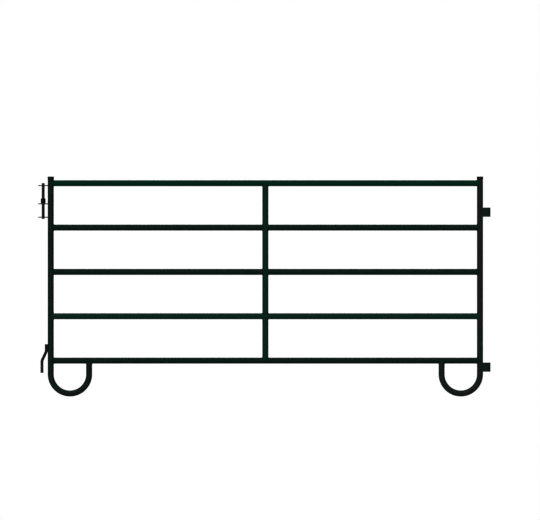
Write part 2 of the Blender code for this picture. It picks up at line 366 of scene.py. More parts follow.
GLOSS_BAND = (0.3, 0.7)
PAINT_DRIFT = Pattern(1.6, 3.0, (0.38, 0.62))
PAINT_GRAIN = Pattern(90.0, 4.0, (0.35, 0.7))
PAINT_DUST = Pattern(28.0, 5.0, (0.45, 0.7))
PAINT_CHIPS = Pattern(320.0, 4.0, (0.42, 0.62))
PAINT_GLOSS = Pattern(14.0, 3.0, GLOSS_BAND)
PLASTIC_BLOOM = Pattern(60.0, 4.0, (0.42, 0.72))
PLASTIC_SCUFFS = Pattern(420.0, 3.0, (0.4, 0.6))
PLASTIC_GLOSS = Pattern(120.0, 3.0, GLOSS_BAND)
STEEL_TEMPER = Pattern(180.0, 3.0, (0.35, 0.65))
STEEL_RUST = Pattern(520.0, 5.0, (0.6, 0.75))
STEEL_GLOSS = Pattern(300.0, 2.0, GLOSS_BAND)
FLOOR_CLOUD = Pattern(0.9, 4.0, (0.35, 0.65))
FLOOR_GLOSS = Pattern(7.0, 3.0, GLOSS_BAND)
WHOLE = (0.0, 1.0)
UNSTRETCHED = (1.0, 1.0, 1.0)


class NodeSheet:
    """A material's node tree, with short calls for the nodes that the finishes share."""

    def __init__(self, name: str, sockets: dict[str, float]) -> None:
        """Start a material with one Principled shader.

        Args:
            name: The material's name.
            sockets: Constant values for the shader's own sockets.
        """
        self.material = bpy.data.materials.new(name)
        self.material.use_nodes = True
        self.tree = self.material.node_tree
        self.tree.nodes.clear()
        self.shader = self.add("ShaderNodeBsdfPrincipled", sockets)
        output = self.add("ShaderNodeOutputMaterial", {})
        self.tree.links.new(self.shader.outputs[0], output.inputs["Surface"])
        self.place = self.add("ShaderNodeTexCoord", {}).outputs["Object"]

    def add(self, kind: str, inputs: dict, **settings: str | bool) -> bpy.types.Node:
        """Add a node.

        Args:
            kind: Blender's name for the node type.
            inputs: A socket to link or a value to set, by socket name or number.
            settings: Options of the node itself.

        Returns:
            The new node.
        """
        node = self.tree.nodes.new(kind)
        for option, value in settings.items():
            setattr(node, option, value)
        for key, value in inputs.items():
            if isinstance(value, Socket):
                self.tree.links.new(value, node.inputs[key])
            else:
                node.inputs[key].default_value = value
        return node

    def noise(self, scale: float, detail: float = 2.0, stretch: Colour = UNSTRETCHED) -> Socket:
        """Add noise to the piece's own space.

        Args:
            scale: Lumps to a metre, roughly.
            detail: Octaves of finer noise.
            stretch: Factor along each axis. Below 1 draws the lumps out along it.

        Returns:
            The noise, mostly between 0.3 and 0.7.
        """
        mapped = self.add("ShaderNodeMapping", {"Vector": self.place, "Scale": stretch})
        inputs = {"Vector": mapped.outputs[0], "Scale": scale, "Detail": detail}
        return self.add("ShaderNodeTexNoise", inputs).outputs[0]

    def wear(self) -> Socket:
        """Return the piece's own wear attribute."""
        return self.add("ShaderNodeAttribute", {}, attribute_name=WEAR).outputs["Fac"]

    def height(self) -> Socket:
        """Return the height above the ground."""
        return self.add("ShaderNodeSeparateXYZ", {0: self.place}).outputs[2]

    def ramp(self, value: Socket, ends: tuple[float, float], to: tuple[float, float]) -> Socket:
        """Ease a value from one pair of ends to another, and hold it outside them.

        Args:
            value: The value.
            ends: Where the ramp starts and stops.
            to: What it gives there.

        Returns:
            The eased value.
        """
        inputs = {
            "Value": value,
            "From Min": ends[0],
            "From Max": ends[1],
            "To Min": to[0],
            "To Max": to[1],
        }
        return self.add("ShaderNodeMapRange", inputs, interpolation_type="SMOOTHSTEP").outputs[0]

    def lumps(
        self, pattern: Pattern, to: tuple[float, float], stretch: Colour = UNSTRETCHED
    ) -> Socket:
        """Ease a pattern's noise over its band.

        Args:
            pattern: The noise and its band.
            to: What it gives at the band's two ends.
            stretch: Factor along each axis. Below 1 draws the lumps out along it.

        Returns:
            The eased noise.
        """
        return self.ramp(self.noise(pattern.scale, pattern.detail, stretch), pattern.band, to)

    def maths(self, operation: str, first: Socket | float, second: Socket | float) -> Socket:
        """Return one sum of two values."""
        return self.add("ShaderNodeMath", {0: first, 1: second}, operation=operation).outputs[0]

    def mix(self, share: Socket, first: Colour | Socket, second: Colour) -> Socket:
        """Mix two colours.

        Args:
            share: 0 for the first colour, 1 for the second.
            first: A colour, or the colour of another node.
            second: A colour.

        Returns:
            The mixed colour.
        """
        under = first if isinstance(first, Socket) else (*first, 1.0)
        inputs = {0: share, 6: under, 7: (*second, 1.0)}
        return self.add("ShaderNodeMix", inputs, data_type="RGBA").outputs[2]

    def bump(self, height: Socket, depth: float, under: Socket | None = None) -> Socket:
        """Raise the surface's normal by a height.

        Args:
            height: Height, from 0 to 1.
            depth: Metres that a height of 1 stands for.
            under: A normal to lay it over.

        Returns:
            The raised normal.
        """
        inputs = {"Height": height, "Strength": 1.0, "Distance": depth}
        if under is not None:
            inputs["Normal"] = under
        return self.add("ShaderNodeBump", inputs).outputs[0]

    def connect(self, **links: Socket) -> bpy.types.Material:
        """Link the shader and finish the sheet.

        Args:
            links: What to link to each of the shader's sockets, with underscores for spaces.

        Returns:
            The material.
        """
        for name, source in links.items():
            self.tree.links.new(source, self.shader.inputs[name.replace("_", " ")])
        return self.material


@dataclass(frozen=True)
class PaintFinish:
    """Oven-cured paint on steel: orange peel, a slow drift of tone, dust and rubbed edges."""

    name: str
    colour: Colour
    drift: Colour  # the tone that it wanders to along a tube
    steel: Colour = (0.16, 0.16, 0.155)
    dust: Colour = (0.045, 0.042, 0.036)
    roughness: float = 0.46
    specular: float = 0.08
    peel_depth: float = 0.00012
    coat: float = 0.00006  # thickness of the paint, where it is rubbed through
    grain: float = 0.25  # share of the darker shade in the grain
    shade: float = 0.6  # how dark that shade is
    dust_top: float = 0.35  # height where the dust ends
    dustiness: float = 0.35  # share of dust at the ground
    dust_rough: float = 0.3  # what full dust adds to the roughness
    rub: float = 0.3  # how much metal shows where wear is 1
    streak: Colour = UNSTRETCHED  # below 1 draws the rubbed marks out along that axis

    def material(self) -> bpy.types.Material:
        """Lay tone, grain, dust and rubbed metal one over the other.

        Returns:
            The paint's material.
        """
        sheet = NodeSheet(self.name, {"Specular IOR Level": self.specular})
        tone = sheet.lumps(PAINT_DRIFT, WHOLE)
        grain = sheet.lumps(PAINT_GRAIN, (0.0, self.grain))
        colour = sheet.mix(tone, self.colour, self.drift)
        colour = sheet.mix(grain, colour, tuple(self.shade * c for c in self.colour))
        low = sheet.ramp(sheet.height(), (0.0, self.dust_top), (self.dustiness, 0.0))
        patches = sheet.lumps(PAINT_DUST, WHOLE)
        dusty = sheet.maths("MULTIPLY", low, patches)
        colour = sheet.mix(dusty, colour, self.dust)
        chips = sheet.lumps(PAINT_CHIPS, WHOLE, self.streak)
        worn = sheet.maths("MULTIPLY", sheet.maths("MULTIPLY", sheet.wear(), chips), self.rub)
        colour = sheet.mix(worn, colour, self.steel)
        gloss = sheet.lumps(PAINT_GLOSS, (self.roughness - 0.06, self.roughness + 0.08))
        rough = sheet.maths("ADD", gloss, sheet.maths("MULTIPLY", dusty, self.dust_rough))
        peel = sheet.bump(sheet.noise(210.0), self.peel_depth)
        relief = sheet.bump(sheet.maths("SUBTRACT", 1.0, worn), self.coat, peel)
        return sheet.connect(Base_Color=colour, Roughness=rough, Metallic=worn, Normal=relief)


@dataclass(frozen=True)
class PlasticFinish:
    """Soft moulded plastic with a fine eroded texture and paler, weathered patches."""

    name: str
    colour: Colour
    weathered: Colour
    roughness: float = 0.5
    specular: float = 0.2
    grain_depth: float = 0.00004

    def material(self) -> bpy.types.Material:
        """Lay bloom and handling scuffs over the mould's fine texture.

        Returns:
            The plastic's material.
        """
        sheet = NodeSheet(self.name, {"Specular IOR Level": self.specular})
        bloom = sheet.lumps(PLASTIC_BLOOM, (0.0, 0.5))
        colour = sheet.mix(bloom, self.colour, self.weathered)
        scuffs = sheet.lumps(PLASTIC_SCUFFS, (0.1, 0.7))
        colour = sheet.mix(sheet.maths("MULTIPLY", sheet.wear(), scuffs), colour, self.weathered)
        rough = sheet.lumps(PLASTIC_GLOSS, (self.roughness - 0.07, self.roughness + 0.1))
        grain = sheet.bump(sheet.noise(1400.0), self.grain_depth)
        return sheet.connect(Base_Color=colour, Roughness=rough, Normal=grain)


@dataclass(frozen=True)
class SteelFinish:
    """Oiled spring steel, blued unevenly by its tempering."""

    name: str
    colour: Colour
    blued: Colour
    rust: Colour = (0.09, 0.035, 0.014)
    roughness: float = 0.34
    rolled_along: Colour = (1.0, 0.1, 1.0)  # draws the rolling marks out along Y
    mark_depth: float = 0.00002

    def material(self) -> bpy.types.Material:
        """Lay temper colour, a little rust and rolling marks over the steel.

        Returns:
            The steel's material.
        """
        sheet = NodeSheet(self.name, {"Metallic": 1.0})
        temper = sheet.lumps(STEEL_TEMPER, WHOLE)
        colour = sheet.mix(temper, self.colour, self.blued)
        rust = sheet.lumps(STEEL_RUST, (0.0, 0.6))
        colour = sheet.mix(rust, colour, self.rust)
        rough = sheet.lumps(STEEL_GLOSS, (self.roughness - 0.1, self.roughness + 0.2))
        rolled = sheet.bump(sheet.noise(900.0, stretch=self.rolled_along), self.mark_depth)
        return sheet.connect(Base_Color=colour, Roughness=rough, Normal=rolled)


@dataclass(frozen=True)
class FloorFinish:
    """Matt pale studio floor with a faint mottle."""

    name: str
    colour: Colour
    mottle: Colour

    def material(self) -> bpy.types.Material:
        """Lay a faint mottle over a matt surface.

        Returns:
            The floor's material.
        """
        sheet = NodeSheet(self.name, {"Specular IOR Level": 0.15})
        cloud = sheet.lumps(FLOOR_CLOUD, WHOLE)
        colour = sheet.mix(cloud, self.colour, self.mottle)
        rough = sheet.lumps(FLOOR_GLOSS, (0.82, 0.94))
        return sheet.connect(Base_Color=colour, Roughness=rough)


TOP_RAIL_GREEN = PaintFinish(
    "top_rail_green", (0.0008, 0.0415, 0.0240), (0.0010, 0.0390, 0.0228), specular=0.04
)
RAIL_GREEN = PaintFinish("rail_green", (0.0026, 0.0220, 0.0145), (0.0052, 0.0210, 0.0150))
STAY_GREEN = PaintFinish("stay_green", (0.0040, 0.0380, 0.0250), (0.0062, 0.0360, 0.0245))
POST_GREENS = {
    Side.LEFT: PaintFinish("left_post_green", (0.0110, 0.0215, 0.0175), (0.0085, 0.0245, 0.0190)),
    Side.RIGHT: PaintFinish(
        "right_post_green", (0.0170, 0.0250, 0.0218), (0.0150, 0.0270, 0.0225)
    ),
}
BRACKET_GREEN = PaintFinish(
    "bracket_green", (0.0125, 0.0260, 0.0215), (0.0095, 0.0220, 0.0180), roughness=0.5
)
FITTING_BLACK = PaintFinish(
    "fitting_black",
    (0.0120, 0.0145, 0.0138),
    (0.0145, 0.0170, 0.0163),
    roughness=0.42,
    streak=(1.0, 1.0, 0.06),
)
COLLAR_BLACK = PaintFinish(
    "collar_black",
    (0.0020, 0.0028, 0.0026),
    (0.0032, 0.0040, 0.0038),
    roughness=0.42,
    specular=0.06,
)
CAP_BLACK = PlasticFinish("cap_black", (0.0018, 0.0024, 0.0023), (0.0090, 0.0100, 0.0098))
ROLLED_STEEL = SteelFinish("rolled_spring_steel", (0.30, 0.29, 0.28), (0.05, 0.06, 0.085))
STUDIO_FLOOR = FloorFinish("studio_floor", (0.750, 0.750, 0.745), (0.740, 0.740, 0.736))


def dressed(finish: Finish) -> bpy.types.Material:
    """Return the finish's material, made once."""
    return bpy.data.materials.get(finish.name) or finish.material()


# --------------------------------------------------------------------------------------
# Welds
# --------------------------------------------------------------------------------------


@dataclass(frozen=True)
class Bead:
    """Section and ripple of a weld bead."""

    half_width: float = 0.0034
    height: float = 0.0023
    sink: float = 0.0012  # how far its middle sinks where the two surfaces are flush
    pitch: float = 0.0026  # from one ripple to the next
    ripple: float = 0.13  # share of the section
    wander: float = 0.07  # slow change of the section, as a hand weld has
    steps: int = 5  # rows in each ripple
    columns: int = 14

    def lay(self, path: Array, normals: tuple[Array, Array], closed: bool, name: str) -> Shell:
        """Lay the bead along a seam between two surfaces.

        The path is cut into even rows. At each row, m points halfway between the two surfaces'
        normals, square to the path, and c is square to both. The middle of the section is the
        seam less m times the sink, by how flush the surfaces are. At angle v the surface is the
        middle plus height cos v along m and half the width times sin v along c, times the
        ripple. The ripple is the size of a sine of the distance along the seam, which lags
        towards the toes, so that each crest is a crescent laid on the last one.

        Args:
            path: Points along the seam by XYZ.
            normals: The two surfaces' outward normals at each point.
            closed: Whether the seam runs right round.
            name: Seeds the slow change of the section.

        Returns:
            The bead, a ring when closed and a bar with fading ends when open.
        """
        if closed:
            path = np.vstack([path, path[:1]])
            normals = tuple(np.vstack([n, n[:1]]) for n in normals)
        gone = np.concatenate([[0.0], np.cumsum(np.linalg.norm(np.diff(path, axis=0), axis=1))])
        length = gone[-1]
        rows = max(4, round(length / self.pitch)) * self.steps
        run = np.linspace(0.0, length, rows, endpoint=not closed)
        seam, first, second = (
            np.stack([np.interp(run, gone, values[:, k]) for k in range(3)], -1)
            for values in (path, *normals)
        )
        ahead = self._ahead(seam, closed)
        middle = first + second
        middle = unit(middle - ahead * (middle * ahead).sum(-1, keepdims=True))
        across = np.cross(ahead, middle)
        flush = np.clip((first * second).sum(-1, keepdims=True), 0.0, 1.0)
        angle = around(self.columns)[None, :]
        pitch = length / max(1, round(length / self.pitch))
        lag = 0.5 * pitch * (1.0 - np.cos(angle))
        crest = np.abs(np.sin(HALF_TURN * (run[:, None] - lag) / pitch))
        size = 1.0 + self.ripple * (crest - 0.6)
        size = size * (1.0 + self.wander * self._slow(run / length, name))[:, None]
        if not closed:
            end = np.minimum(run, length - run) / self.half_width
            size = size * np.sqrt(np.clip(end, 0.08, 1.0))[:, None]
        centre = seam - middle * self.sink * flush
        rise = (size * self.height * np.cos(angle))[..., None] * middle[:, None]
        reach = (size * self.half_width * np.sin(angle))[..., None] * across[:, None]
        return Shell(centre[:, None] + rise + reach, ring=closed)

    def _ahead(self, seam: Array, closed: bool) -> Array:
        """Find the way along the seam from each point's neighbours.

        Args:
            seam: Points along the seam.
            closed: Whether it runs right round.

        Returns:
            Directions at length 1.
        """
        if closed:
            return unit(np.roll(seam, -1, 0) - np.roll(seam, 1, 0))
        return unit(np.gradient(seam, axis=0))

    def _slow(self, share: Array, name: str) -> Array:
        """Add up three seeded sines of the share, which meet where the seam closes.

        Args:
            share: How far along the seam, from 0 to 1.
            name: Seeds the sines' starting angles.

        Returns:
            One value for each share, within 1.5 of 0.
        """
        phases = np.random.default_rng(zlib.crc32(name.encode())).uniform(0.0, FULL_TURN, 3)
        waves = np.array([2.0, 5.0, 9.0])
        return np.sin(FULL_TURN * share[:, None] * waves + phases).sum(-1) / 2.0


TUBE_BEAD = Bead()
TAB_BEAD = Bead(half_width=0.0024, height=0.0018, pitch=0.0020)
STRAP_BEAD = Bead(half_width=0.0042, height=0.0026, sink=0.0015)
HOOK_BEAD = Bead(half_width=0.0042, height=0.0030, sink=0.0)


@dataclass(frozen=True)
class SaddleSeam:
    """The seam where a branch tube's coped end sits on a tube that crosses it."""

    origin: Array  # where the two axes meet
    branch: Array  # from there along the branch
    cross: Array  # along the tube it sits on
    radius: float
    ease: float = 0.0006  # rounds the seam's tips, where the two tubes are flush

    def path(self, steps: int = 720) -> tuple[Array, tuple[Array, Array]]:
        """Work out the seam.

        At angle a round the branch, the point stands r cos a along the cross tube and r sin a
        in depth. It sits sqrt((r + ease)^2 - (r sin a)^2) out from the origin, on the cross
        tube's surface.

        Args:
            steps: Points round the seam.

        Returns:
            The points, and the outward normals of the branch and of the cross tube.
        """
        angle = around(steps)[:, None]
        outward = np.cos(angle) * self.cross + np.sin(angle) * DEPTH
        depth = self.radius * np.sin(angle)
        reach = np.sqrt((self.radius + self.ease) ** 2 - depth**2)
        points = self.origin + reach * self.branch + self.radius * outward
        crossing = unit(reach * self.branch + depth * DEPTH)
        return points, (outward, crossing)

    def bead(self, name: str) -> Shell:
        """Return the bead that runs right round the seam."""
        points, normals = self.path()
        return TUBE_BEAD.lay(points, normals, closed=True, name=name)


# --------------------------------------------------------------------------------------
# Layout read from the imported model
# --------------------------------------------------------------------------------------


@dataclass(frozen=True)
class Layout:
    """Places that several sub-assemblies share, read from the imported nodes."""

    tube_radius: float
    post_x: float
    leg_x: float
    post_top: float
    rails: dict[str, float]  # each rail's height, from the lowest up

    @classmethod
    def read(cls) -> "Layout":
        """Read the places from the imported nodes' boxes.

        Returns:
            The layout.
        """
        names = ("bottom_rail", "lower_rail", "middle_rail", "upper_rail", "top_rail")
        low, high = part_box("top_rail")
        cap_low, cap_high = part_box("right_post_cap")
        leg_low, leg_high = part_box("right_post")
        radius = (high.z - low.z) / 2
        return cls(
            tube_radius=radius,
            post_x=(cap_low.x + cap_high.x) / 2,
            leg_x=leg_low.x + radius,
            post_top=leg_high.z,
            rails={name: sum(corner.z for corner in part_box(name)) / 2 for name in names},
        )

    @property
    def cope(self) -> float:
        """Radius that a tube's end is coped to."""
        return self.tube_radius + FIT_GAP

    @property
    def bend_radius(self) -> float:
        """Radius of the J leg's bend on the tube's centre line."""
        return (self.post_x - self.leg_x) / 2

    @property
    def bottom_rail_z(self) -> float:
        """Height of the bottom rail's centre line."""
        return self.rails["bottom_rail"]


# --------------------------------------------------------------------------------------
# Frame: posts, rails and stays
# --------------------------------------------------------------------------------------


@dataclass
class Post:
    """A post: one tube, bent at its foot into a J leg under the bottom rail."""

    side: Side
    layout: Layout
    wall: float = 0.0015
    sides: int = 56
    straight_rows: int = 24
    bend_rows: int = 56
    leg_rows: int = 5
    scuff_height: float = 0.012  # the foot is rubbed below this

    @property
    def x(self) -> float:
        """X of the post's axis."""
        return self.side.value * self.layout.post_x

    def build(self) -> None:
        """Make the post's tube and the weld at the leg's end."""
        word = self.side.name.lower()
        outer_radius = self.layout.tube_radius
        outer, inner = self._skin(outer_radius), self._skin(outer_radius - self.wall)
        rows = np.vstack([outer, inner[::-1]])
        scuffed = np.clip(1.0 - rows[..., 2] / self.scuff_height, 0.0, 1.0)
        tube = Shell(rows, ring=True, wear=scuffed)
        finish = POST_GREENS[self.side]
        Piece(f"{word}_post_tube", [tube], finish, Slot.FRAME_PAINT, node=f"{word}_post").build()
        origin = np.array([self.side.value * self.layout.leg_x, 0.0, self.layout.bottom_rail_z])
        name = f"{word}_leg_weld"
        seam = SaddleSeam(origin, -UP, ALONG, self.layout.tube_radius)
        Piece(name, [seam.bead(name)], finish, Slot.FRAME_PAINT).build()

    def _skin(self, radius: float) -> Array:
        """Carry a ring of points down the post, round the bend and up the leg.

        The bend's angle t goes from 0 on the post to half a turn on the leg, and its outward
        direction is (cos t, -sin t). The centre line is the bend's centre plus the bend's
        radius along that, plus a lift up the straight runs. The ring adds its radius times
        (cos a along the outward direction, sin a in depth). The leg's lift ends on the bottom
        rail, at its height less sqrt(cope^2 - depth^2).

        Args:
            radius: Radius of the skin.

        Returns:
            Rows down the tube by points round it by XYZ.
        """
        sign, plan = self.side.value, self.layout
        bend_z = plan.bend_radius + plan.tube_radius
        bend = np.concatenate(
            [
                np.zeros(self.straight_rows),
                np.linspace(0.0, HALF_TURN, self.bend_rows),
                np.full(self.leg_rows, HALF_TURN),
            ]
        )[:, None]
        angle = around(self.sides)[None, :]
        depth = radius * np.sin(angle)
        down = np.linspace(plan.post_top - bend_z, 0.0, self.straight_rows, endpoint=False)[:, None]
        top = plan.bottom_rail_z - np.sqrt(plan.cope**2 - depth**2) - bend_z
        up = np.linspace(0.0, 1.0, self.leg_rows + 1)[1:, None]
        lift = np.vstack(
            [
                np.broadcast_to(down, (self.straight_rows, self.sides)),
                np.zeros((self.bend_rows, self.sides)),
                up * top,
            ]
        )
        reach = plan.bend_radius + radius * np.cos(angle)
        x = sign * (plan.post_x - plan.bend_radius + reach * np.cos(bend))
        z = bend_z - reach * np.sin(bend) + lift
        return np.stack(np.broadcast_arrays(x, depth, z), -1)


@dataclass
class CopedTube:
    """A straight tube, coped at both ends over the tubes that it meets."""

    name: str
    node: str
    start: Array  # on the axis of the first tube it meets
    end: Array  # on the axis of the second
    layout: Layout
    finish: Finish
    wall: float = 0.0015
    sides: int = 56
    rows: int = 12

    def build(self) -> None:
        """Make the tube."""
        outer_radius = self.layout.tube_radius
        outer, inner = self._skin(outer_radius), self._skin(outer_radius - self.wall)
        tube = Shell(np.vstack([outer, inner[::-1]]), ring=True)
        Piece(self.name, [tube], self.finish, Slot.FRAME_PAINT, node=self.node).build()

    def weld(self, end: End) -> None:
        """Make the weld at one end.

        Args:
            end: Which end of the tube.
        """
        toward = unit(self.end - self.start)
        origin, branch = (self.start, toward) if end is End.START else (self.end, -toward)
        name = f"{self.name}_{end.value}_weld"
        seam = SaddleSeam(origin, branch, np.abs(np.cross(toward, DEPTH)), self.layout.tube_radius)
        Piece(name, [seam.bead(name)], self.finish, Slot.FRAME_PAINT).build()

    def _skin(self, radius: float) -> Array:
        """Carry a ring of points along the tube, with its ends on the tubes it meets.

        At angle a the ring is radius times (cos a across, sin a in depth). Each end stands
        sqrt(cope^2 - depth^2) from the axis it meets, and the rows share out what is between.

        Args:
            radius: Radius of the skin.

        Returns:
            Rows along the tube by points round it by XYZ.
        """
        toward = unit(self.end - self.start)
        length = float(np.linalg.norm(self.end - self.start))
        angle = around(self.sides)[None, :, None]
        depth = radius * np.sin(angle)
        ring = radius * np.cos(angle) * np.cross(toward, DEPTH) + depth * DEPTH
        gap = np.sqrt(self.layout.cope**2 - depth**2)
        share = np.linspace(0.0, 1.0, self.rows)[:, None, None]
        return self.start + (gap + share * (length - 2.0 * gap)) * toward + ring


@dataclass
class PostCap:
    """A moulded plastic cap pushed over a post's top."""

    side: Side
    layout: Layout
    wall: float = 0.001
    top: float = 0.0025  # thickness of its crown
    edge: float = 0.002  # radius round the top
    crown: float = 0.0005  # how far the middle stands over the edge
    groove_at: float = 0.0135  # radius of the moulded ring in the top
    groove: float = 0.0004
    groove_width: float = 0.0006
    gate: float = 0.0012  # radius of the dimple where the plastic came in
    gate_depth: float = 0.6  # of the groove's
    lip: float = 0.00035  # radius of the small edges
    inside: float = 0.0006  # radius where the skirt meets the crown, inside
    draft: float = 0.0002  # how much the skirt draws in towards the top
    pole: float = 0.0004  # radius of the last row round the axis, on top
    rub_width: float = 0.002
    rub_height: float = 0.006  # how far down from the top the rim is rubbed
    sides: int = 64
    steps: int = 6
    crown_rows: int = 48

    def build(self) -> None:
        """Make the cap."""
        word = self.side.name.lower()
        low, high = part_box(f"{word}_post_cap")
        middle = ((low.x + high.x) / 2, 0.0)
        profile = self._profile((high.x - low.x) / 2, low.z, high.z)
        shell = turned(profile, middle, self.sides)
        radius = profile[:, :1]
        corner = np.exp(-(((radius - radius.max()) / self.rub_width) ** 2))
        shell.wear = 0.8 * corner * (profile[:, 1:] > high.z - self.rub_height)
        Piece(f"{word}_cap", [shell], CAP_BLACK, Slot.CAP_PLASTIC, node=f"{word}_post_cap").build()

    def _profile(self, radius: float, bottom: float, top: float) -> Array:
        """Draw half the cap's section, from the axis under the crown to the axis on top.

        The top's height falls by the crown times (r / radius)^2, with a rounded groove cut at
        the moulded ring and a dimple at the gate, both bell curves of the radius.

        Args:
            radius: Radius over the skirt.
            bottom: Height of the skirt's edge.
            top: Height of the cap's highest point.

        Returns:
            Points by radius and height.
        """
        bore = radius - self.wall
        under, edge_top = top - self.top, top - self.crown
        corners = np.array(
            [
                (2.0 * self.pole, under),
                (bore, under),
                (bore, bottom),
                (radius, bottom),
                (radius - self.draft, edge_top),
                (radius * 0.8, edge_top),
            ]
        )
        radii = np.array([self.lip, self.inside, self.lip, self.lip, self.edge, self.lip])
        side = rounded(corners, radii, self.steps, closed=False)[:-1]
        out = np.linspace(radius - self.edge - self.pole, self.pole, self.crown_rows)
        height = top - self.crown * (out / (radius - self.edge)) ** 2
        ring = np.exp(-(((out - self.groove_at) / self.groove_width) ** 2))
        height = height - self.groove * ring
        height = height - self.gate_depth * self.groove * np.exp(-((out / self.gate) ** 4))
        return np.vstack([side, np.stack([out, height], -1)])


@dataclass
class PanelFrame:
    """The welded frame: two posts with J legs, five rails and the stay between them."""

    layout: Layout
    rail_finishes: dict[str, Finish] = field(
        default_factory=lambda: {
            "bottom_rail": RAIL_GREEN,
            "lower_rail": STAY_GREEN,
            "middle_rail": RAIL_GREEN,
            "upper_rail": RAIL_GREEN,
            "top_rail": TOP_RAIL_GREEN,
        }
    )

    def build(self) -> None:
        """Make the posts, the caps, the rails and the stays, with their welds."""
        for side in Side:
            Post(side, self.layout).build()
            PostCap(side, self.layout).build()
        for name, height in self.layout.rails.items():
            left = np.array([-self.layout.post_x, 0.0, height])
            right = np.array([self.layout.post_x, 0.0, height])
            finish = self.rail_finishes[name]
            rail = CopedTube(f"{name}_tube", name, left, right, self.layout, finish)
            self._join(rail)
        heights = list(self.layout.rails.values())
        for number, (low, high) in enumerate(zip(heights, heights[1:]), 1):
            node = f"stay_tube_{number}"
            foot, head = np.array([0.0, 0.0, low]), np.array([0.0, 0.0, high])
            stay = CopedTube(f"stay_{number}", node, foot, head, self.layout, STAY_GREEN)
            self._join(stay)

    def _join(self, tube: CopedTube) -> None:
        """Make a tube and the weld at each of its ends.

        Args:
            tube: The rail or stay.
        """
        tube.build()
        for end in End:
            tube.weld(end)


# --------------------------------------------------------------------------------------
# Brackets: guide tabs, strap sockets and hook
# --------------------------------------------------------------------------------------


